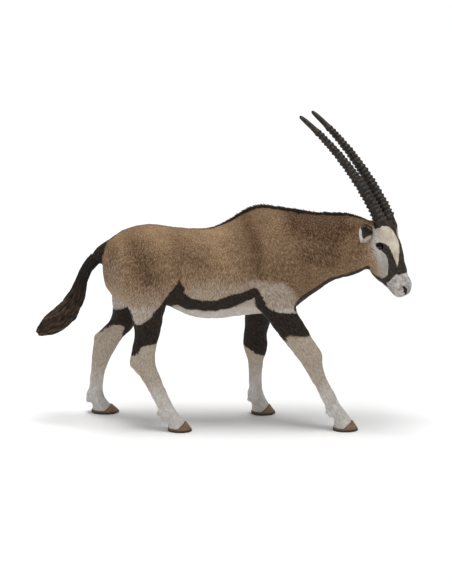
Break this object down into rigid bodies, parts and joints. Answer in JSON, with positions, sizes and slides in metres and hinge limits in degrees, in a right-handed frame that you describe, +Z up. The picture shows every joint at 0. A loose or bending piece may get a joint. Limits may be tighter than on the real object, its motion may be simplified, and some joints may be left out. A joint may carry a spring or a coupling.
{
  "type": "gemsbok toy figurine",
  "caption": "Small hand-painted moulded plastic gemsbok in a walking pose, with long ringed horns, black and white markings and a tufted tail.",
  "frame": {"origin": "on the floor, at the middle of the figurine's bounding box seen from above", "axes": "+X is the way the animal walks, +Y its left side, +Z up"},
  "size_m": [0.1394, 0.0314, 0.1159],
  "materials": {
    "painted_coat": "matt hand-painted vinyl with a moulded hair texture, beige and brown with black and off-white markings",
    "painted_tail": "matt warm black paint over moulded locks of hair",
    "painted_horn": "satin warm black paint over moulded rings",
    "painted_hoof": "satin mid-brown paint with a dark edge at the sole",
    "glossy_eye": "glossy black paint"
  },
  "bodies": {
    "root": {"torso": "painted_coat", "neck": "painted_coat", "head": "painted_coat", "ear_right": "painted_coat", "ear_left": "painted_coat", "leg_hind_right": "painted_coat", "leg_hind_left": "painted_coat", "leg_fore_right": "painted_coat", "leg_fore_left": "painted_coat", "tail": "painted_tail", "tail_tuft": "painted_tail", "horn_right": "painted_horn", "horn_left": "painted_horn", "hoof_hind_right": "painted_hoof", "hoof_hind_left": "painted_hoof", "hoof_fore_right": "painted_hoof", "hoof_fore_left": "painted_hoof", "eye_right": "glossy_eye", "eye_left": "glossy_eye"}
  },
  "joints": []
}
